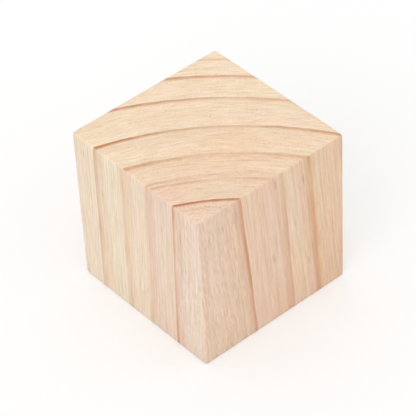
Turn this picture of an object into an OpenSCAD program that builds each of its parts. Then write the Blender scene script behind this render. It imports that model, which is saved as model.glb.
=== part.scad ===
// Solid wooden cube: one block, sawn square and sanded, with every edge and corner eased to one radius.
// The origin is the middle of the underside. +Z is up, and it is the way the grain runs.

/* [Block] */
// Length of each edge, measured from face to face
cube_edge = 50; // [20:1:100]

/* [Sanding] */
// Radius that sanding leaves along the edges and round the corners
eased_radius = 0.4; // [0.2:0.1:3]

/* [Hidden] */
// How far a face lies from the middle of the block
half_edge = cube_edge / 2;
// How far the flat of a face reaches from its own middle, which is where the easing starts
half_flat = half_edge - eased_radius;
// The two sides of the block on which a rounded edge or corner is centred
sides = [-half_flat, half_flat];
// The turns that lay a piece drawn along Z along X, Y and Z
axis_turns = [[0, 90, 0], [90, 0, 0], [0, 0, 0]];
pine = [0.93, 0.80, 0.66];
$fn = 64;

// Slab that reaches from one face to the opposite one, over the flat of both
module slab_between_faces() {
    cube([2 * half_flat, 2 * half_flat, cube_edge], center = true);
}

// Four edges that run along Z, each rounded as a ball of the easing's radius would leave it
module rounded_edges() {
    for (x = sides, y = sides)
        translate([x, y, 0])
            cylinder(r = eased_radius, h = 2 * half_flat, center = true);
}

// Eight corners, each a ball that meets its three rounded edges without a step
module rounded_corners() {
    for (x = sides, y = sides, z = sides)
        translate([x, y, z])
            sphere(r = eased_radius);
}

module wooden_cube() {
    color(pine)
        translate([0, 0, half_edge])
            union() {
                for (turn = axis_turns)
                    rotate(turn) {
                        slab_between_faces();
                        rounded_edges();
                    }
                rounded_corners();
            }
}

wooden_cube();  // cube
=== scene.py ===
"""Dresses the wooden cube: a block of sawn and sanded pine, lit softly on a plain pale floor.

Lengths named _mm are in millimetres and the rest are in metres. A place in the block is measured from
its middle, with +Z along the grain. A place in the log is how far out from the pith a point lies, how
far round it and how far along the grain.
"""

import logging
import math
from dataclasses import dataclass, field
from enum import Enum
from functools import cached_property

import bmesh
import bpy
from mathutils import Matrix, Vector, noise


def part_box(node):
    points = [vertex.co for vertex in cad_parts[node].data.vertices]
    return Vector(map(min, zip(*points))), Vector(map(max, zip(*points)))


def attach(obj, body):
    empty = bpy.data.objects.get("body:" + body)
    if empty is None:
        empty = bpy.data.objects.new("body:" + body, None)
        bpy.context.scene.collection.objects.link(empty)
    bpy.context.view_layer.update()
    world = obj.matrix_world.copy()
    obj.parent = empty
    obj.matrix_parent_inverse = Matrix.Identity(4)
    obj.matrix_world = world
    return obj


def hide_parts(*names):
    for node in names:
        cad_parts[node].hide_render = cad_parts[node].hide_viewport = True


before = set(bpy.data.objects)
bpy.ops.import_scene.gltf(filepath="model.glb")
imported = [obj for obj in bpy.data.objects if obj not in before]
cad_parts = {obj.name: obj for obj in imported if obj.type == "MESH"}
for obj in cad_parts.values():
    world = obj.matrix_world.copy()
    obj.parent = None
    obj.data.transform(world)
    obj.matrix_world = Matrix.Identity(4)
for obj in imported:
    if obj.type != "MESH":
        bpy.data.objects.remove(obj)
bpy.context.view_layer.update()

MM = 0.001
WHITE = (1.0, 1.0, 1.0)
NOISE_MEAN = 0.5
NOISE_GAIN = 4.0
log = logging.getLogger("wooden_cube")

Pair = tuple[float, float]
Triple = tuple[float, float, float]
Socket = bpy.types.NodeSocket
Feed = Socket | float | Triple


class Wiring:
    """A node tree that is being wired up. Its methods add a node and give back what comes out of it."""

    def __init__(self, tree: bpy.types.NodeTree) -> None:
        """Takes the node tree of a material, a world or a group.

        Args:
            tree: The node tree.
        """
        self.tree = tree

    def add(self, kind: str, *values: Feed, **settings: object) -> bpy.types.Node:
        """Adds a node.

        Args:
            kind: The node's type, without its ShaderNode prefix.
            values: What feeds its first inputs, in order.
            settings: Properties to set on the node.

        Returns:
            The new node.
        """
        node = self.tree.nodes.new("ShaderNode" + kind)
        for name, value in settings.items():
            setattr(node, name, value)
        for socket, value in zip(node.inputs, values):
            self.feed(socket, value)
        return node

    def feed(self, socket: Socket, value: Feed) -> None:
        """Links a socket to what feeds it, or sets its value.

        Args:
            socket: The input socket.
            value: Another node's output, a number, or three numbers for a vector or a colour.
        """
        if isinstance(value, bpy.types.NodeSocket):
            self.tree.links.new(value, socket)
        elif socket.type == "RGBA":
            socket.default_value = (*value, 1.0)
        else:
            socket.default_value = value

    def maths(self, operation: str, *values: Feed) -> Socket:
        """Adds a Math node with an operation, such as ADD, and gives its result."""
        return self.add("Math", *values, operation=operation).outputs["Value"]

    def vectors(self, operation: str, *values: Feed) -> Socket:
        """Adds a Vector Math node.

        Args:
            operation: The node's operation, such as ADD.
            values: What feeds its vector inputs, in order. The second value of SCALE is a number.

        Returns:
            The result, which is a number for LENGTH and DOT_PRODUCT and a vector for the others.
        """
        node = self.add("VectorMath", operation=operation)
        sockets = (node.inputs[0], node.inputs["Scale"]) if operation == "SCALE" else node.inputs
        for socket, value in zip(sockets, values):
            self.feed(socket, value)
        return node.outputs["Value" if operation in ("LENGTH", "DOT_PRODUCT") else "Vector"]

    def split(self, vector: Socket) -> tuple[Socket, Socket, Socket]:
        """Splits a vector into its X, Y and Z."""
        outputs = self.add("SeparateXYZ", vector).outputs
        return outputs["X"], outputs["Y"], outputs["Z"]

    def join(self, x: Feed, y: Feed, z: Feed) -> Socket:
        """Joins X, Y and Z into a vector."""
        return self.add("CombineXYZ", x, y, z).outputs["Vector"]

    def ease(self, value: Feed, start: Feed, end: Feed, low: Feed = 0.0, high: Feed = 1.0) -> Socket:
        """Adds a Map Range node that eases from one level to another and stays within them.

        Args:
            value: The number to map.
            start: Where the result leaves its first level.
            end: Where the result reaches its second level.
            low: The first level.
            high: The second level.

        Returns:
            The eased number.
        """
        node = self.add("MapRange", value, start, end, low, high, interpolation_type="SMOOTHSTEP")
        return node.outputs["Result"]

    def noise(self, vector: Feed, detail: float = 2.0, roughness: float = 0.5) -> Socket:
        """Adds a Noise Texture whose features are about one unit of its vector across.

        Args:
            vector: Where the noise is read.
            detail: How many finer layers are added.
            roughness: How strong the finer layers are.

        Returns:
            The noise, from about -1 to 1 round a mean of 0.
        """
        node = self.add("TexNoise", noise_dimensions="3D")
        self.feed(node.inputs["Vector"], vector)
        node.inputs["Scale"].default_value = 1.0
        node.inputs["Detail"].default_value = detail
        node.inputs["Roughness"].default_value = roughness
        return self.maths("MULTIPLY_ADD", node.outputs["Fac"], NOISE_GAIN, -NOISE_GAIN * NOISE_MEAN)

    def mixed(self, kind: str, share: Feed, first: Feed, second: Feed, **settings: str) -> Socket:
        """Adds a Mix node.

        Args:
            kind: What it mixes, as its sockets name it: Float or Color.
            share: How much of the second value goes in.
            first: The value to start from.
            second: The value that goes in.
            settings: Properties to set on the node.

        Returns:
            The mixed value.
        """
        node = self.add("Mix", **settings)
        values = {"Factor_Float": share, "A_" + kind: first, "B_" + kind: second}
        for identifier, value in values.items():
            self.feed(self.found(node.inputs, identifier), value)
        return self.found(node.outputs, "Result_" + kind)

    def blend(self, share: Feed, first: Feed, second: Feed) -> Socket:
        """Mixes two numbers, with a share of 1 for the second alone."""
        return self.mixed("Float", share, first, second, data_type="FLOAT")

    def mix(self, share: Feed, first: Feed, second: Feed, mode: str = "MIX") -> Socket:
        """Mixes two colours in a blend mode, with a share of 1 for all of the second."""
        return self.mixed("Color", share, first, second, data_type="RGBA", blend_type=mode)

    def stain(self, colour: Feed, share: Feed, by: Feed) -> Socket:
        """Multiplies a colour by a share of another, as a stain does."""
        return self.mix(share, colour, by, "MULTIPLY")

    def place(self, group: bpy.types.NodeTree, **feeds: Feed) -> bpy.types.Node:
        """Places a node group.

        Args:
            group: The group.
            feeds: What feeds each input, with underscores for the spaces in its name.

        Returns:
            The group's node.
        """
        node = self.add("Group", node_tree=group)
        for name, value in feeds.items():
            self.feed(node.inputs[name.replace("_", " ").capitalize()], value)
        return node

    @staticmethod
    def found(sockets: bpy.types.bpy_prop_collection, identifier: str) -> Socket:
        """Finds the socket that has that identifier, as a Mix node's sockets share their names."""
        return next(socket for socket in sockets if socket.identifier == identifier)


class Group:
    """A new shader node group, with its wiring and its named inputs and outputs."""

    def __init__(self, name: str, inputs: dict[str, str], outputs: dict[str, str]) -> None:
        """Makes the group with its sockets.

        Args:
            name: The group's name.
            inputs: Each input's name, with Float or Vector.
            outputs: Each output's name, with Float or Vector.
        """
        self.tree = bpy.data.node_groups.new(name, "ShaderNodeTree")
        for direction, sockets in (("INPUT", inputs), ("OUTPUT", outputs)):
            for label, kind in sockets.items():
                self.tree.interface.new_socket(
                    name=label, in_out=direction, socket_type="NodeSocket" + kind
                )
        self.wiring = Wiring(self.tree)
        self.given = self.tree.nodes.new("NodeGroupInput").outputs
        self.result = self.tree.nodes.new("NodeGroupOutput").inputs

    def give(self, **values: Feed) -> bpy.types.NodeTree:
        """Feeds the group's outputs, by name with underscores for spaces, and gives back its tree."""
        for name, value in values.items():
            self.wiring.feed(self.result[name.replace("_", " ").capitalize()], value)
        return self.tree


class Cut(Enum):
    """How a pair of opposite faces was cut from the log, with the axis that the pair faces along."""

    FLAT_SAWN = "X"
    QUARTER_SAWN = "Y"
    END_GRAIN = "Z"


@dataclass(frozen=True)
class Shows:
    """How strongly a mark of the wood shows on each cut."""

    on_end: float
    on_quarter: float
    on_flat: float


@dataclass(frozen=True)
class RingLine:
    """The shape of a ring's dark line, from its outer side inwards.

    Behind the line comes a fade, whose share is how dark it starts beside the line itself. The
    softness is how far in from the outer side the line reaches its full darkness.
    """

    width_mm: float
    fade_mm: float
    fade_share: float
    softness_mm: float

    def darkness(self, inside_mm: float) -> float:
        """Gives how dark the line is at a depth.

        Args:
            inside_mm: How far inside the line's outer side the depth is.

        Returns:
            The darkness, from 0 to 1.
        """
        if inside_mm < 0.0:
            return 0.0
        in_line = max(0.0, 1.0 - inside_mm / self.width_mm)
        return max(in_line, self.fade_share * math.exp(-inside_mm / self.fade_mm))


# What the wood of a year is multiplied by.
PALE_YEAR = (1.0, 1.0, 1.0)
TAN_YEAR = (0.995, 0.98, 0.975)
PINKISH_YEAR = (0.985, 0.955, 0.975)
WARM_YEAR = (0.99, 0.995, 1.035)
GOLDEN_YEAR = (0.995, 1.005, 0.965)


@dataclass(frozen=True)
class GrowthRing:
    """A line of dense latewood, as ends a year's growth, and the tone of the wood inside it.

    The radius is the line's outer side in the middle of the block. It grows by the swing for each
    radian round the pith and by the climb for each millimetre up.
    """

    radius_mm: float
    line: RingLine
    year_tone: Triple
    shows: Shows
    swing_mm: float = 0.0
    climb: float = 0.0

    def latewood(self, radius_mm: float, around: float, height_mm: float) -> float:
        """Gives how much of the line's latewood lies at a place in the log.

        Args:
            radius_mm: How far out from the pith the place is.
            around: How far round the pith it is, in radians.
            height_mm: How high it is above the middle of the block.

        Returns:
            The amount, from 0 to 1.
        """
        outer_mm = self.radius_mm + self.swing_mm * around + self.climb * height_mm
        return self.line.darkness(outer_mm - radius_mm)


@dataclass(frozen=True)
class PineLog:
    """The log that the block was cut from: where its pith runs, and its rings from the pith outwards.

    The pith is where it crosses the height of the block's middle, and the lean is how far it shifts
    for each millimetre up. A line that lies or looks different on the end grain and on the sides has an
    entry for each, and a faint line has one for the cuts that show it, so there are more entries than
    years.
    """

    pith_mm: Triple = (67.7, -50.0, 0.0)
    lean: Triple = (-0.008, -0.09, 0.0)
    waviness_mm: float = 0.15
    rings: tuple[GrowthRing, ...] = (
        GrowthRing(57.2, RingLine(1.0, 1.0, 0.3, 0.6), WARM_YEAR, Shows(0.16, 0.15, 0.00)),
        GrowthRing(59.5, RingLine(1.0, 2.2, 0.72, 0.3), WARM_YEAR, Shows(1.15, 0.94, 0.74), swing_mm=-1.2),
        GrowthRing(67.5, RingLine(1.0, 1.0, 0.3, 0.4), PINKISH_YEAR, Shows(0.38, 0.05, 0.00), swing_mm=-0.8),
        GrowthRing(68.4, RingLine(0.8, 0.8, 0.3, 0.4), PINKISH_YEAR, Shows(0.05, 0.00, 0.18)),
        GrowthRing(69.5, RingLine(1.0, 0.8, 0.3, 0.4), PINKISH_YEAR, Shows(0.26, 0.00, 0.00), swing_mm=-2.4),
        GrowthRing(69.6, RingLine(2.6, 1.6, 0.5, 1.6), PINKISH_YEAR, Shows(0.08, 0.42, 0.08)),
        GrowthRing(70.2, RingLine(1.0, 0.8, 0.3, 0.4), TAN_YEAR, Shows(0.00, 0.00, 0.40), climb=0.016),
        GrowthRing(76.8, RingLine(3.0, 2.4, 0.5, 1.4), TAN_YEAR, Shows(0.04, 0.08, 0.00)),
        GrowthRing(77.7, RingLine(1.6, 2.0, 0.5, 1.2), TAN_YEAR, Shows(0.80, 0.00, 0.00), swing_mm=-0.7),
        GrowthRing(
            78.8,
            RingLine(2.4, 2.2, 0.5, 2.1),
            GOLDEN_YEAR,
            Shows(0.00, 0.58, 0.78),
            swing_mm=-0.4,
            climb=0.01,
        ),
        GrowthRing(88.4, RingLine(1.2, 2.0, 0.8, 0.4), PALE_YEAR, Shows(0.92, 0.66, 0.25)),
        GrowthRing(100.4, RingLine(1.2, 1.2, 0.4, 0.4), PALE_YEAR, Shows(0.95, 0.50, 0.40), swing_mm=4.0),
        GrowthRing(109.8, RingLine(1.3, 1.2, 0.4, 0.4), PALE_YEAR, Shows(1.35, 0.50, 0.45), swing_mm=5.0),
        GrowthRing(116.8, RingLine(1.0, 0.8, 0.3, 0.4), PALE_YEAR, Shows(0.85, 0.40, 0.35), swing_mm=4.0),
    )

    @property
    def outwards(self) -> Vector:
        """The direction from the pith to the middle of the block."""
        return -Vector(self.pith_mm).normalized()

    @property
    def round_pith(self) -> Vector:
        """The direction round the pith at the middle of the block."""
        return Vector((0.0, 0.0, 1.0)).cross(self.outwards)

    @property
    def middle_radius_mm(self) -> float:
        """How far from the pith the middle of the block lies."""
        return Vector(self.pith_mm).length

    def latewood(self, place_mm: Vector) -> float:
        """Gives how much latewood there is at a place.

        Args:
            place_mm: The place in the block.

        Returns:
            The amount, from 0 to 1.
        """
        offset = place_mm - Vector(self.pith_mm) - Vector(self.lean) * place_mm.z
        offset.z = 0.0
        around = math.atan2(offset.dot(self.round_pith), offset.dot(self.outwards))
        return max(ring.latewood(offset.length, around, place_mm.z) for ring in self.rings)


@dataclass(frozen=True)
class CutTone:
    """The colours of one cut: the wood near the pith and far out, and what its dark lines multiply by.

    The wood keeps the first colour up to near_until_mm from the pith and has the second from
    far_from_mm on.
    """

    near_pith: Triple
    far_out: Triple
    latewood: Triple
    near_until_mm: float
    far_from_mm: float


# What a streak adds to red, green and blue at its strongest, as a share.
DARKER = (-0.115, -0.145, -0.185)
PINKER = (0.008, -0.022, -0.014)
YELLOWER = (0.0, 0.0, -0.045)


@dataclass(frozen=True)
class Streaks:
    """Streaks of one size, which is given outwards from the pith, round it and along the grain.

    Next to the pith they show near_pith times as strongly.
    """

    size_mm: Triple
    shows: Shows
    near_pith: float
    colour: Triple


@dataclass(frozen=True)
class Patch:
    """A patch of darker or paler wood, or of painted shade.

    Its middle is a place in the log, and its size is how far it reaches from there. The colour is
    what it multiplies the wood by in its middle.
    """

    middle_mm: Triple
    size_mm: Triple
    colour: Triple


@dataclass(frozen=True)
class ResinCanals:
    """Resin canals: thin brown dashes along the grain, which show as dots on the end grain.

    The depth is how deep a canal is beside the height of the fibres.
    """

    spacing_mm: float = 2.2
    length_mm: float = 14.0
    width_mm: float = 0.35
    colour: Triple = (0.86, 0.78, 0.70)
    depth: float = 1.5


@dataclass(frozen=True)
class PaleMiddle:
    """The lines on the end grain turn pale towards the middle of their arcs, from a ring outwards.

    The middle and the half width are angles round the pith. The lines keep the least share of their
    darkness in the middle and all of it at the half width, and they keep it whole near the pith.
    """

    middle: float = -0.10
    half_width: float = 0.33
    least: float = 0.42
    power: float = 1.5
    whole_until_mm: float = 60.0
    pale_from_mm: float = 66.0


@dataclass(frozen=True)
class PaintedFootShade:
    """Painted shade round the block's foot, darker towards the floor, in bands each with a height and a
    strength.
    """

    colour: Triple = (0.93, 0.91, 0.89)
    bands: tuple[Pair, ...] = ((1.6, 0.6), (14.0, 0.4))


@dataclass(frozen=True)
class GrainGroups:
    """The shader node groups that draw the grain. Each is made once and placed as often as needed.

    The waves are how many a millimetre has along each axis. A line is at its darkest up to line_core
    times its width from its outer side and gone at line_end times. The pale wood outside it fades
    within pale_mm. A patch and a canal are whole in their core, which is a share of their size. A
    canal is missing where its chance is below the first number and whole above the second.
    """

    slow_waves: Triple = (0.08, 0.08, 0.02)
    quick_waves: Triple = (0.4, 0.4, 0.05)
    quick_share: float = 0.4
    line_core: float = 0.4
    line_end: float = 1.6
    pale_mm: float = 2.0
    streak_roughness: float = 0.6
    canal_core: float = 0.5
    canal_chance: Pair = (0.35, 0.9)
    patch_core: float = 0.3

    @cached_property
    def place_in_log(self) -> bpy.types.NodeTree:
        """The group that turns a place in the block into a place in the log.

        Log place is in millimetres, with the way round the pith as an arc. Around is in radians.
        """
        vectors = ("Place", "Pith", "Lean", "Outwards", "Round pith")
        numbers = ("Arc radius", "Waviness")
        group = Group(
            "Place in the log",
            {label: "Vector" for label in vectors} | {label: "Float" for label in numbers},
            {"Log place": "Vector", "Around": "Float"},
        )
        wiring, given = group.wiring, group.given
        height = wiring.split(given["Place"])[2]
        leant = wiring.vectors("SCALE", given["Lean"], height)
        straight = wiring.vectors("SUBTRACT", given["Place"], leant)
        offset = wiring.vectors("SUBTRACT", straight, given["Pith"])
        out = wiring.vectors("DOT_PRODUCT", offset, given["Outwards"])
        across = wiring.vectors("DOT_PRODUCT", offset, given["Round pith"])
        around = wiring.maths("ARCTAN2", across, out)
        radius = wiring.vectors("LENGTH", wiring.join(out, across, 0.0))
        slow = wiring.noise(wiring.vectors("MULTIPLY", straight, self.slow_waves), detail=1.0)
        quick = wiring.noise(wiring.vectors("MULTIPLY", straight, self.quick_waves), detail=1.0)
        wave = wiring.maths("MULTIPLY_ADD", quick, self.quick_share, slow)
        wavy = wiring.maths("MULTIPLY_ADD", wave, given["Waviness"], radius)
        arc = wiring.maths("MULTIPLY", around, given["Arc radius"])
        return group.give(log_place=wiring.join(wavy, arc, height), around=around)

    @cached_property
    def growth_ring(self) -> bpy.types.NodeTree:
        """The group that draws one growth ring.

        Latewood is the line and its fade, Earlywood the pale wood just outside it, and Inside is 1
        towards the pith and 0 outside the ring.
        """
        place = ("Radius", "Around", "Height")
        ring = ("Ring radius", "Swing", "Climb", "Width", "Fade", "Fade share", "Softness")
        outputs = ("Latewood", "Earlywood", "Inside")
        group = Group(
            "Growth ring",
            {label: "Float" for label in place + ring},
            {label: "Float" for label in outputs},
        )
        wiring, given = group.wiring, group.given
        outer = wiring.maths("MULTIPLY_ADD", given["Around"], given["Swing"], given["Ring radius"])
        outer = wiring.maths("MULTIPLY_ADD", given["Height"], given["Climb"], outer)
        depth = wiring.maths("SUBTRACT", outer, given["Radius"])
        inside = wiring.ease(depth, 0.0, given["Softness"])
        core = wiring.maths("MULTIPLY", given["Width"], self.line_core)
        end = wiring.maths("MULTIPLY", given["Width"], self.line_end)
        line = wiring.ease(depth, core, end, 1.0, 0.0)
        faded = wiring.maths("DIVIDE", wiring.maths("MAXIMUM", depth, 0.0), given["Fade"])
        fade = wiring.maths("EXPONENT", wiring.maths("MULTIPLY", faded, -1.0))
        fade = wiring.maths("MULTIPLY", fade, given["Fade share"])
        latewood = wiring.maths("MULTIPLY", inside, wiring.maths("MAXIMUM", line, fade))
        beyond = wiring.maths("DIVIDE", wiring.maths("MINIMUM", depth, 0.0), self.pale_mm)
        outside = wiring.maths("SUBTRACT", 1.0, inside)
        earlywood = wiring.maths("MULTIPLY", wiring.maths("EXPONENT", beyond), outside)
        return group.give(latewood=latewood, earlywood=earlywood, inside=inside)

    @cached_property
    def cut_of_wood(self) -> bpy.types.NodeTree:
        """The group that tells the cuts apart by which pair of faces a point lies nearest to.

        End is 1 on the end grain and 0 on the sides, and Quarter is 1 on the quarter-sawn sides and
        0 on the flat-sawn ones. They blend over a width on the eased edges.
        """
        inputs = {"Place": "Vector", "Blend": "Float"}
        group = Group("Cut of the wood", inputs, {"End": "Float", "Quarter": "Float"})
        wiring, given = group.wiring, group.given
        x, y, z = wiring.split(wiring.vectors("ABSOLUTE", given["Place"]))
        before = wiring.maths("MULTIPLY", given["Blend"], -1.0)
        to_end = wiring.maths("SUBTRACT", z, wiring.maths("MAXIMUM", x, y))
        to_quarter = wiring.maths("SUBTRACT", y, x)
        end = wiring.ease(to_end, before, given["Blend"])
        quarter = wiring.ease(to_quarter, before, given["Blend"])
        return group.give(end=end, quarter=quarter)

    @cached_property
    def grain_streaks(self) -> bpy.types.NodeTree:
        """The group that draws streaks of one size, which follow the rings and the grain."""
        inputs = {"Log place": "Vector", "Size": "Vector", "Strength": "Float"}
        group = Group("Grain streaks", inputs, {"Streaks": "Float"})
        wiring, given = group.wiring, group.given
        spread = wiring.vectors("DIVIDE", given["Log place"], given["Size"])
        streaks = wiring.noise(spread, detail=2.0, roughness=self.streak_roughness)
        return group.give(streaks=wiring.maths("MULTIPLY", streaks, given["Strength"]))

    @cached_property
    def resin_canals(self) -> bpy.types.NodeTree:
        """The group that draws resin canals. Canals is 1 in a canal and 0 between them."""
        numbers = ("Spacing", "Length", "Width")
        group = Group(
            "Resin canals",
            {"Log place": "Vector"} | {label: "Float" for label in numbers},
            {"Canals": "Float"},
        )
        wiring, given = group.wiring, group.given
        cell = wiring.join(given["Spacing"], given["Spacing"], given["Length"])
        cells = wiring.add("TexVoronoi", voronoi_dimensions="3D", feature="F1")
        wiring.feed(cells.inputs["Vector"], wiring.vectors("DIVIDE", given["Log place"], cell))
        cells.inputs["Scale"].default_value = 1.0
        width = wiring.maths("DIVIDE", given["Width"], given["Spacing"])
        core = wiring.maths("MULTIPLY", width, self.canal_core)
        canal = wiring.ease(cells.outputs["Distance"], core, width, 1.0, 0.0)
        chance = wiring.ease(wiring.split(cells.outputs["Color"])[0], *self.canal_chance)
        return group.give(canals=wiring.maths("MULTIPLY", canal, chance))

    @cached_property
    def patch(self) -> bpy.types.NodeTree:
        """The group that draws one patch. Patch is 1 in its middle and 0 outside it."""
        inputs = ("Log place", "Middle", "Size")
        group = Group("Patch", {label: "Vector" for label in inputs}, {"Patch": "Float"})
        wiring, given = group.wiring, group.given
        offset = wiring.vectors("SUBTRACT", given["Log place"], given["Middle"])
        share = wiring.vectors("LENGTH", wiring.vectors("DIVIDE", offset, given["Size"]))
        return group.give(patch=wiring.ease(share, self.patch_core, 1.0, 1.0, 0.0))


class PineWiring(Wiring):
    """The pine's own wiring, with the groups, the places and the cuts that its whole pattern reads."""

    def __init__(
        self, tree: bpy.types.NodeTree, pine_log: PineLog, middle_mm: Vector, cut_blend_mm: float
    ) -> None:
        """Works out each point's place in the block and in the log, and which cut it lies on.

        Args:
            tree: The material's node tree.
            pine_log: The log that the block was cut from.
            middle_mm: The middle of the block.
            cut_blend_mm: How far two cuts blend into each other from an edge.
        """
        super().__init__(tree)
        self.groups = GrainGroups()
        mapping = self.add("Mapping", vector_type="POINT")
        self.feed(mapping.inputs["Vector"], self.add("TexCoord").outputs["Object"])
        mapping.inputs["Location"].default_value = -middle_mm
        mapping.inputs["Scale"].default_value = (1 / MM,) * 3
        self.in_block = mapping.outputs["Vector"]
        in_log = self.place(
            self.groups.place_in_log,
            place=self.in_block,
            pith=pine_log.pith_mm,
            lean=pine_log.lean,
            outwards=tuple(pine_log.outwards),
            round_pith=tuple(pine_log.round_pith),
            arc_radius=pine_log.middle_radius_mm,
            waviness=pine_log.waviness_mm,
        )
        self.in_log = in_log.outputs["Log place"]
        self.around = in_log.outputs["Around"]
        self.radius, _, self.height = self.split(self.in_log)
        cut = self.place(self.groups.cut_of_wood, place=self.in_block, blend=cut_blend_mm)
        self.end = cut.outputs["End"]
        self.quarter = cut.outputs["Quarter"]

    def strength(self, shows: Shows) -> Socket:
        """Gives how strongly a mark shows on the cut that a point lies on."""
        side = self.blend(self.quarter, shows.on_flat, shows.on_quarter)
        return self.blend(self.end, side, shows.on_end)

    def colour_of_cut(self, colours: dict[Cut, Feed]) -> Socket:
        """Gives the colour of the cut that a point lies on."""
        side = self.mix(self.quarter, colours[Cut.FLAT_SAWN], colours[Cut.QUARTER_SAWN])
        return self.mix(self.end, side, colours[Cut.END_GRAIN])

    def streaks(self, size_mm: Triple, strength: Feed) -> Socket:
        """Draws streaks of one size."""
        places = {"log_place": self.in_log, "size": size_mm, "strength": strength}
        return self.place(self.groups.grain_streaks, **places).outputs["Streaks"]


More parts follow.
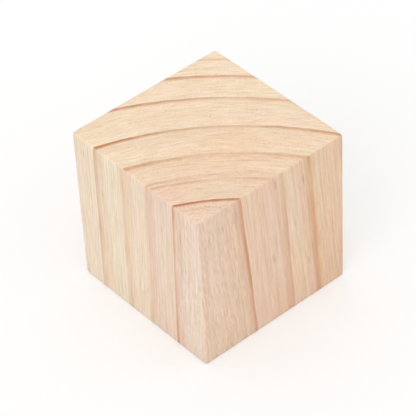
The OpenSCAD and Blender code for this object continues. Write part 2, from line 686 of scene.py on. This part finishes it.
@dataclass(frozen=True)
class SandedPine:
    """The finish: bare pine, sanded smooth. It is solid, so each face shows a cut through one log.

    The earlywood is the tone of the pale wood just outside a ring. The uneven waves make a ring's line
    darker and paler along its way. On the end grain the fade behind it is cut down to end_fade. Over
    near_pith_mm the streaks change from their strength next to the pith to the usual one. The fine
    arcs lie on the top.
    """

    log: PineLog = PineLog()
    tones: dict[Cut, CutTone] = field(
        default_factory=lambda: {
            Cut.FLAT_SAWN: CutTone(
                near_pith=(0.895, 0.663, 0.481),
                far_out=(0.875, 0.620, 0.432),
                latewood=(0.77, 0.46, 0.31),
                near_until_mm=75.0,
                far_from_mm=80.0,
            ),
            Cut.QUARTER_SAWN: CutTone(
                near_pith=(0.884, 0.705, 0.546),
                far_out=(0.895, 0.737, 0.566),
                latewood=(0.82, 0.56, 0.41),
                near_until_mm=65.0,
                far_from_mm=75.0,
            ),
            Cut.END_GRAIN: CutTone(
                near_pith=(0.874, 0.651, 0.460),
                far_out=(0.912, 0.714, 0.517),
                latewood=(0.62, 0.34, 0.21),
                near_until_mm=50.0,
                far_from_mm=120.0,
            ),
        }
    )
    cut_blend_mm: float = 0.25
    earlywood: Triple = (1.015, 1.03, 1.04)
    uneven_waves: Triple = (0.2, 0.16, 0.06)
    unevenness: float = 0.35
    end_fade: float = 1 / 3
    pale_middle: PaleMiddle = PaleMiddle()
    near_pith_mm: Pair = (56.0, 60.0)
    streaks: tuple[Streaks, ...] = (
        Streaks((2.4, 24.0, 90.0), Shows(0.06, 0.05, 0.10), 1.0, DARKER),
        Streaks((0.55, 10.0, 80.0), Shows(0.52, 0.52, 0.46), 0.8, DARKER),
        Streaks((0.35, 3.0, 10.0), Shows(0.85, 0.95, 0.80), 0.9, DARKER),
        Streaks((9.0, 0.35, 1.2), Shows(0.15, 0.10, 0.10), 1.0, DARKER),
        Streaks((0.6, 0.6, 2.5), Shows(0.40, 0.20, 0.28), 3.2, DARKER),
        Streaks((1.0, 6.0, 24.0), Shows(1.2, 1.2, 1.2), 1.0, PINKER),
        Streaks((1.2, 8.0, 20.0), Shows(1.0, 1.0, 1.0), 1.0, YELLOWER),
        Streaks((3.0, 14.0, 36.0), Shows(1.1, 1.1, 1.1), 1.0, PINKER),
        Streaks((3.6, 10.0, 30.0), Shows(0.9, 0.9, 0.9), 1.0, YELLOWER),
    )
    dark_marks: tuple[Patch, ...] = (
        Patch((57.8, -9.0, 19.0), (0.6, 3.0, 6.0), (0.92, 0.86, 0.82)),
        Patch((56.6, 12.7, 15.3), (0.5, 3.0, 4.5), (0.90, 0.87, 0.84)),
        Patch((65.5, -18.8, -3.0), (0.6, 3.0, 2.5), (0.87, 0.80, 0.73)),
        Patch((65.4, -19.6, -17.0), (0.5, 3.0, 12.0), (0.92, 0.86, 0.82)),
        Patch((66.4, -19.6, 3.0), (0.4, 3.0, 11.0), (0.95, 0.92, 0.90)),
        Patch((75.6, -28.3, 18.2), (0.5, 3.0, 2.6), (0.86, 0.80, 0.74)),
        Patch((76.2, -28.6, 8.0), (0.6, 4.0, 10.0), (0.93, 0.89, 0.85)),
        Patch((84.6, -34.1, -16.0), (1.1, 5.0, 13.0), (0.92, 0.90, 0.85)),
        Patch((87.2, -35.5, 19.0), (0.7, 4.0, 8.0), (0.93, 0.91, 0.93)),
        Patch((94.6, 31.8, -10.0), (0.9, 5.0, 24.0), (0.97, 0.93, 0.945)),
    )
    pale_bands: tuple[Patch, ...] = (
        Patch((55.3, 12.8, 9.0), (1.8, 3.0, 14.0), (1.01, 1.05, 1.06)),
        Patch((63.4, -2.0, 25.0), (2.8, 18.0, 2.0), (0.99, 1.035, 1.025)),
        Patch((66.6, -21.0, 4.0), (1.6, 5.0, 26.0), (1.025, 1.05, 1.035)),
        Patch((71.3, 21.3, 17.5), (0.5, 3.0, 6.0), (1.02, 1.06, 1.05)),
        Patch((72.0, -24.8, 11.0), (2.0, 5.0, 24.0), (1.02, 1.07, 1.08)),
        Patch((80.8, -31.6, 12.0), (4.0, 6.0, 16.0), (1.025, 1.035, 1.03)),
        Patch((81.6, 27.3, 0.0), (2.6, 5.0, 70.0), (1.01, 1.05, 1.05)),
        Patch((86.0, 22.0, 25.0), (18.0, 12.0, 2.0), (1.01, 1.05, 1.05)),
    )
    fine_arcs: tuple[Patch, ...] = (
        Patch((61.7, 10.5, 25.0), (0.5, 3.5, 2.0), (0.93, 0.89, 0.86)),
        Patch((61.8, -5.5, 25.0), (0.5, 8.0, 2.0), (0.92, 0.88, 0.85)),
        Patch((64.0, 2.0, 25.0), (0.5, 6.0, 2.0), (0.96, 0.93, 0.91)),
        Patch((66.6, 7.5, 25.0), (0.5, 5.0, 2.0), (0.94, 0.91, 0.89)),
        Patch((67.4, -16.0, 25.0), (0.5, 5.5, 2.0), (0.93, 0.88, 0.85)),
        Patch((68.9, -3.0, 25.0), (0.5, 4.0, 2.0), (0.90, 0.86, 0.83)),
        Patch((70.0, -16.0, 25.0), (0.5, 7.0, 2.0), (0.94, 0.90, 0.87)),
        Patch((71.7, -6.0, 25.0), (0.5, 6.0, 2.0), (0.94, 0.91, 0.89)),
        Patch((73.7, 5.8, 25.0), (0.55, 7.0, 2.0), (0.90, 0.85, 0.82)),
        Patch((74.1, -16.0, 25.0), (0.5, 9.0, 2.0), (0.93, 0.89, 0.86)),
    )
    deep_bands_and_shade: tuple[Patch, ...] = (
        Patch((69.0, -22.5, -15.0), (1.8, 5.0, 16.0), (0.995, 0.985, 0.93)),
        Patch((77.7, -28.5, 0.0), (2.6, 6.0, 80.0), (1.0, 1.0, 0.945)),
        Patch((80.0, -8.0, 25.0), (15.0, 14.0, 3.0), (1.0, 0.96, 0.925)),
        # The last one darkens the lower corner of the flat-sawn face away from the pith: painted shade.
        Patch((81.5, -31.6, -19.0), (5.0, 6.0, 19.0), (0.965, 0.94, 0.925)),
    )
    canals: ResinCanals = ResinCanals()
    # Painted shade round the block's foot, darker towards the floor.
    foot: PaintedFootShade = PaintedFootShade()
    specular: float = 0.35
    roughness: float = 0.62
    rougher_end: float = 0.10
    smoother_latewood: float = 0.12
    smoother_pale: float = 0.5
    fibre_mm: Triple = (0.35, 3.0, 10.0)
    fibre_height_mm: float = 0.012

    def material(self, middle_mm: Vector, half_mm: float) -> bpy.types.Material:
        """Makes the material.

        Args:
            middle_mm: The middle of the block.
            half_mm: How far a face lies from the middle.

        Returns:
            The finished material.
        """
        material = bpy.data.materials.new("sanded_pine")
        material.use_nodes = True
        shader = material.node_tree.nodes["Principled BSDF"]
        wood = PineWiring(material.node_tree, self.log, middle_mm, self.cut_blend_mm)
        latewood, earlywood, year_tone = self.draw_rings(wood)
        grain = self.draw_grain(wood)
        canals = self.draw_canals(wood)

        colour = wood.stain(self.plain_wood(wood), 1.0, year_tone)
        colour = wood.stain(colour, earlywood, self.earlywood)
        colour = wood.stain(colour, 1.0, grain)
        colour = wood.stain(colour, canals, self.canals.colour)
        colour = self.mark(wood, colour)
        line_colours = {cut: tone.latewood for cut, tone in self.tones.items()}
        colour = wood.stain(colour, latewood, wood.colour_of_cut(line_colours))
        # Painted shade round the foot darkens the colour towards the floor.
        colour = wood.stain(colour, self.paint_foot_shade(wood, half_mm), self.foot.colour)
        wood.feed(shader.inputs["Base Color"], colour)
        wood.feed(shader.inputs["Roughness"], self.draw_roughness(wood, latewood, grain))
        wood.feed(shader.inputs["Normal"], self.raise_fibres(wood, canals))
        shader.inputs["Specular IOR Level"].default_value = self.specular
        log.info("%s: %d ring lines", material.name, len(self.log.rings))
        return material

    def plain_wood(self, wood: PineWiring) -> Socket:
        """Gives the colour of the wood between its marks, by the cut and the distance from the pith.

        Args:
            wood: The pine's wiring.

        Returns:
            The colour.
        """
        colours: dict[Cut, Feed] = {}
        for cut, tone in self.tones.items():
            outward = wood.ease(wood.radius, tone.near_until_mm, tone.far_from_mm)
            colours[cut] = wood.mix(outward, tone.near_pith, tone.far_out)
        return wood.colour_of_cut(colours)

    def draw_rings(self, wood: PineWiring) -> tuple[Socket, Socket, Socket]:
        """Draws all the growth rings.

        Args:
            wood: The pine's wiring.

        Returns:
            The latewood and the earlywood, from 0 to 1, and the tone of the year's wood.
        """
        latewood: Feed = 0.0
        earlywood: Feed = 0.0
        tone: Feed = PALE_YEAR
        for ring in reversed(self.log.rings):
            line = ring.line
            node = wood.place(
                wood.groups.growth_ring,
                radius=wood.radius,
                around=wood.around,
                height=wood.height,
                ring_radius=ring.radius_mm,
                swing=ring.swing_mm,
                climb=ring.climb,
                width=line.width_mm,
                fade=line.fade_mm,
                fade_share=wood.blend(wood.end, line.fade_share, line.fade_share * self.end_fade),
                softness=line.softness_mm,
            )
            strength = wood.strength(ring.shows)
            latewood = wood.maths("MULTIPLY_ADD", node.outputs["Latewood"], strength, latewood)
            earlywood = wood.maths("MAXIMUM", node.outputs["Earlywood"], earlywood)
            tone = wood.mix(node.outputs["Inside"], tone, ring.year_tone)
        uneven = wood.noise(wood.vectors("MULTIPLY", wood.in_log, self.uneven_waves))
        uneven = wood.maths("MULTIPLY_ADD", uneven, self.unevenness, 1.0)
        kept = wood.maths("MULTIPLY", uneven, wood.blend(wood.end, 1.0, self.kept_in_middle(wood)))
        latewood = wood.maths("MINIMUM", wood.maths("MULTIPLY", latewood, kept), 1.0)
        return latewood, earlywood, tone

    def kept_in_middle(self, wood: PineWiring) -> Socket:
        """Gives the share of their darkness that the lines on the end grain keep.

        Args:
            wood: The pine's wiring.

        Returns:
            The share.
        """
        pale = self.pale_middle
        aside = wood.maths("ABSOLUTE", wood.maths("SUBTRACT", wood.around, pale.middle))
        rise = wood.maths("POWER", wood.maths("DIVIDE", aside, pale.half_width), pale.power)
        by_angle = wood.maths("MULTIPLY_ADD", rise, 1.0 - pale.least, pale.least)
        near_pith = wood.ease(wood.radius, pale.whole_until_mm, pale.pale_from_mm, 1.0, 0.0)
        return wood.maths("MAXIMUM", by_angle, near_pith)

    def draw_grain(self, wood: PineWiring) -> Socket:
        """Draws all the streaks.

        Args:
            wood: The pine's wiring.

        Returns:
            What the streaks multiply the wood's colour by.
        """
        tint: Feed = WHITE
        for layer in self.streaks:
            near_pith = wood.ease(wood.radius, *self.near_pith_mm, layer.near_pith, 1.0)
            strength = wood.maths("MULTIPLY", wood.strength(layer.shows), near_pith)
            streaks = wood.streaks(layer.size_mm, strength)
            tint = wood.vectors("MULTIPLY_ADD", streaks, layer.colour, tint)
        return tint

    def draw_canals(self, wood: PineWiring) -> Socket:
        """Draws the resin canals.

        Args:
            wood: The pine's wiring.

        Returns:
            The canals, as 1 in a canal and 0 between them.
        """
        canals = self.canals
        node = wood.place(
            wood.groups.resin_canals,
            log_place=wood.in_log,
            spacing=canals.spacing_mm,
            length=canals.length_mm,
            width=canals.width_mm,
        )
        return node.outputs["Canals"]

    def mark(self, wood: PineWiring, colour: Socket) -> Socket:
        """Stains the wood's colour with its marks and bands.

        Args:
            wood: The pine's wiring.
            colour: The wood's colour.

        Returns:
            The stained colour.
        """
        # The last deep band is painted shade at a lower corner of the flat-sawn face.
        for patch in self.dark_marks + self.fine_arcs + self.pale_bands + self.deep_bands_and_shade:
            places = {"log_place": wood.in_log, "middle": patch.middle_mm, "size": patch.size_mm}
            node = wood.place(wood.groups.patch, **places)
            colour = wood.stain(colour, node.outputs["Patch"], patch.colour)
        return colour

    def paint_foot_shade(self, wood: PineWiring, half_mm: float) -> Socket:
        """Paints shade round the block's foot, darker towards the floor.

        Args:
            wood: The pine's wiring.
            half_mm: How far a face lies from the middle.

        Returns:
            The painted shade, from 0 to 1.
        """
        height = wood.maths("ADD", wood.split(wood.in_block)[2], half_mm)
        painted_shade: Feed = 0.0
        for reach_mm, strength in self.foot.bands:
            painted_shade = wood.maths("ADD", painted_shade, wood.ease(height, 0.0, reach_mm, strength, 0.0))
        return painted_shade

    def draw_roughness(self, wood: PineWiring, latewood: Socket, grain: Socket) -> Socket:
        """Gives the roughness: more on the end grain, less in dark lines and between the streaks.

        Args:
            wood: The pine's wiring.
            latewood: How much latewood there is.
            grain: What the streaks multiply the wood's colour by.

        Returns:
            The roughness.
        """
        rough = wood.blend(wood.end, self.roughness, self.roughness + self.rougher_end)
        rough = wood.maths("MULTIPLY_ADD", latewood, -self.smoother_latewood, rough)
        pale = wood.maths("SUBTRACT", wood.split(grain)[1], 1.0)
        return wood.maths("MULTIPLY_ADD", pale, -self.smoother_pale, rough)

    def raise_fibres(self, wood: PineWiring, canals: Socket) -> Socket:
        """Gives the normals of a surface with fine fibres and sunk canals.

        Args:
            wood: The pine's wiring.
            canals: Where the resin canals are.

        Returns:
            The normals.
        """
        fibres = wood.streaks(self.fibre_mm, 1.0)
        bump = wood.add("Bump")
        bump.inputs["Distance"].default_value = self.fibre_height_mm * MM
        height = wood.maths("MULTIPLY_ADD", canals, -self.canals.depth, fibres)
        wood.feed(bump.inputs["Height"], height)
        return bump.outputs["Normal"]


@dataclass(frozen=True)
class Wave:
    """Unevenness that comes and goes over the block, with this many waves in a millimetre."""

    per_mm: float
    strength: float

    def at(self, place_mm: Vector) -> float:
        """Gives the unevenness at a place, which is about the strength either way at most."""
        return self.strength * noise.noise(place_mm * self.per_mm)


@dataclass
class SandedBlock:
    """The cube itself: a block sawn square, with eased edges and the faint relief that sanding leaves.

    The soft wood between the rings is sanded lower than their dark lines, by relief_mm. The edges are
    worn unevenly, by edge_wear_mm times the mean wear and its waves, and the corners once more.
    """

    pine: SandedPine
    name: str = "sanded_block"
    node: str = "cube"
    body: str = "root"
    slot: str = "pine"
    eased_radius_mm: float = 0.4
    eased_segments: int = 4
    cells_across: int = 116
    relief_mm: float = 0.012
    relief_wave: Wave = Wave(0.8, 0.4)
    edge_wear_mm: float = 0.05
    mean_wear: float = 0.5
    wear_waves: tuple[Wave, ...] = (Wave(0.16, 0.6), Wave(0.7, 0.3))
    corner_wear_mm: float = 0.10
    wear_reach_mm: float = 1.5
    low: Vector = field(init=False)
    high: Vector = field(init=False)

    def __post_init__(self) -> None:
        """Takes the block's place and size from the frame."""
        self.low, self.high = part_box(self.node)

    @property
    def middle(self) -> Vector:
        """The middle of the block."""
        return (self.low + self.high) / 2

    @property
    def half_edge(self) -> float:
        """Half the length of the block's edges, which is how far a face lies from the middle."""
        return (self.high.z - self.low.z) / 2

    def sawn_square(self) -> bmesh.types.BMesh:
        """Makes the block with its edges eased and its faces divided finely enough for relief.

        Returns:
            The block, round the origin.
        """
        block = bmesh.new()
        bmesh.ops.create_cube(block, size=self.half_edge * 2)
        bmesh.ops.bevel(
            block,
            geom=block.verts[:] + block.edges[:],
            offset=self.eased_radius_mm * MM,
            offset_type="OFFSET",
            affect="EDGES",
            segments=self.eased_segments,
            profile=0.5,
            material=-1,
            clamp_overlap=True,
        )
        long_edges = [edge for edge in block.edges if edge.calc_length() > self.half_edge]
        bmesh.ops.subdivide_edges(block, edges=long_edges, cuts=self.cells_across - 1, use_grid_fill=True)
        return block

    def worn_depth_mm(self, place: Vector) -> float:
        """Gives how far sanding took the surface below the true cube.

        Args:
            place: The point, from the middle of the block.

        Returns:
            The depth in millimetres.
        """
        place_mm = place / MM
        # How far inside each pair of faces the point lies, the nearest pair first.
        gaps = sorted(self.half_edge / MM - abs(axis) for axis in place_mm)
        near_edge = math.exp(-((gaps[1] / self.wear_reach_mm) ** 2))
        near_corner = math.exp(-((gaps[2] / self.wear_reach_mm) ** 2)) * near_edge
        soft_wood = 1.0 - self.pine.log.latewood(place_mm)
        relief = self.relief_mm * soft_wood * (1.0 + self.relief_wave.at(place_mm))
        wear = max(0.0, self.mean_wear + sum(wave.at(place_mm) for wave in self.wear_waves))
        return relief + self.edge_wear_mm * near_edge * wear + self.corner_wear_mm * near_corner

    def sand(self, block: bmesh.types.BMesh) -> None:
        """Lowers the surface by what sanding took off, so that nothing stands outside the true cube.

        Args:
            block: The block, round the origin.
        """
        block.normal_update()
        depths = [vertex.normal * self.worn_depth_mm(vertex.co) * MM for vertex in block.verts]
        for vertex, depth in zip(block.verts, depths):
            vertex.co -= depth

    def build(self) -> bpy.types.Object:
        """Builds the block where the frame has it.

        Returns:
            The finished piece, riding on its body.
        """
        block = self.sawn_square()
        self.sand(block)
        bmesh.ops.translate(block, verts=block.verts, vec=self.middle)
        for face in block.faces:
            face.smooth = True
        mesh = bpy.data.meshes.new(self.name)
        block.to_mesh(mesh)
        block.free()
        piece = bpy.data.objects.new(self.name, mesh)
        bpy.context.scene.collection.objects.link(piece)
        self.dress(piece)
        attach(piece, self.body)
        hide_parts(self.node)
        log.info("%s: %d faces", self.name, len(mesh.polygons))
        return piece

    def dress(self, piece: bpy.types.Object) -> None:
        """Gives the piece its pine."""
        piece.data.materials.append(self.pine.material(self.middle / MM, self.half_edge / MM))


@dataclass
class Studio:
    """The plain pale floor, the soft light and the camera. Angles are in degrees.

    The floor's glow shows to the camera alone. The camera slides sideways and up from its distance.
    """

    floor_size: float = 8.0
    floor_tone: float = 0.73
    floor_glow: float = 0.28
    sky_strength: float = 0.90
    key_azimuth: float = 24.0
    key_elevation: float = 32.0
    key_strength: float = 0.59
    key_softness: float = 50.0
    camera_azimuth: float = 50.77
    camera_elevation: float = 41.80
    camera_roll: float = -3.23
    camera_distance: float = 0.606
    camera_slide_mm: Pair = (-0.75, -0.86)
    lens_mm: float = 196.2

    @staticmethod
    def towards(azimuth: float, elevation: float) -> Vector:
        """Gives the direction from the block to something that stands round it.

        Args:
            azimuth: How far round it stands, from the front towards the right.
            elevation: How high it stands.

        Returns:
            The direction.
        """
        turn, rise = math.radians(azimuth), math.radians(elevation)
        level = math.cos(rise)
        return Vector((math.sin(turn) * level, -math.cos(turn) * level, math.sin(rise)))

    def lay_floor(self) -> None:
        """Lays the floor, which shows white to the camera where no shadow falls."""
        plane = bmesh.new()
        bmesh.ops.create_grid(plane, x_segments=1, y_segments=1, size=self.floor_size / 2)
        mesh = bpy.data.meshes.new("floor")
        plane.to_mesh(mesh)
        plane.free()
        floor = bpy.data.objects.new("floor", mesh)
        bpy.context.scene.collection.objects.link(floor)
        material = bpy.data.materials.new("pale_floor")
        material.use_nodes = True
        paint = Wiring(material.node_tree)
        shader = material.node_tree.nodes["Principled BSDF"]
        paint.feed(shader.inputs["Base Color"], (self.floor_tone,) * 3)
        paint.feed(shader.inputs["Emission Color"], WHITE)
        shader.inputs["Roughness"].default_value = 1.0
        shader.inputs["Specular IOR Level"].default_value = 0.0
        seen = paint.add("LightPath").outputs["Is Camera Ray"]
        paint.feed(shader.inputs["Emission Strength"], paint.maths("MULTIPLY", seen, self.floor_glow))
        mesh.materials.append(material)

    def light(self) -> None:
        """Hangs one broad soft lamp and an even sky round the block."""
        lamp = bpy.data.lights.new("key_light", "SUN")
        lamp.energy = self.key_strength
        lamp.angle = math.radians(self.key_softness)
        key = bpy.data.objects.new("key_light", lamp)
        bpy.context.scene.collection.objects.link(key)
        direction = self.towards(self.key_azimuth, self.key_elevation)
        key.rotation_euler = direction.to_track_quat("Z", "Y").to_euler()
        world = bpy.data.worlds.new("studio_sky")
        world.use_nodes = True
        bpy.context.scene.world = world
        sky = Wiring(world.node_tree)
        background = world.node_tree.nodes["Background"]
        sky.feed(background.inputs["Color"], WHITE)
        path = sky.add("LightPath")
        seen = sky.maths("MAXIMUM", path.outputs["Is Camera Ray"], path.outputs["Is Glossy Ray"])
        seen = sky.maths("MAXIMUM", seen, path.outputs["Is Transmission Ray"])
        sky.feed(background.inputs["Strength"], sky.blend(seen, self.sky_strength, 1.0))

    def set_camera(self, middle: Vector) -> None:
        """Sets up the camera.

        Args:
            middle: The middle of the block, which the camera looks at.
        """
        data = bpy.data.cameras.new("camera")
        data.lens = self.lens_mm
        camera = bpy.data.objects.new("camera", data)
        bpy.context.scene.collection.objects.link(camera)
        back = self.towards(self.camera_azimuth, self.camera_elevation)
        turned = back.to_track_quat("Z", "Y").to_matrix().to_4x4()
        turned @= Matrix.Rotation(math.radians(self.camera_roll), 4, "Z")
        slide = Vector((*self.camera_slide_mm, 0.0)) * MM
        place = middle + back * self.camera_distance + turned.to_3x3() @ slide
        camera.matrix_world = Matrix.Translation(place) @ turned
        bpy.context.scene.camera = camera

    def build(self, middle: Vector) -> None:
        """Sets up the whole studio.

        Args:
            middle: The middle of the block.
        """
        self.lay_floor()
        self.light()
        self.set_camera(middle)
        bpy.context.scene.view_settings.view_transform = "Standard"
        log.info("studio: floor, soft light and camera are set")


def main() -> None:
    """Builds the block and the studio."""
    logging.basicConfig(level=logging.INFO, format="%(message)s")
    block = SandedBlock(SandedPine())
    block.build()
    Studio().build(block.middle)
    bpy.context.view_layer.update()


if __name__ == "__main__":
    main()
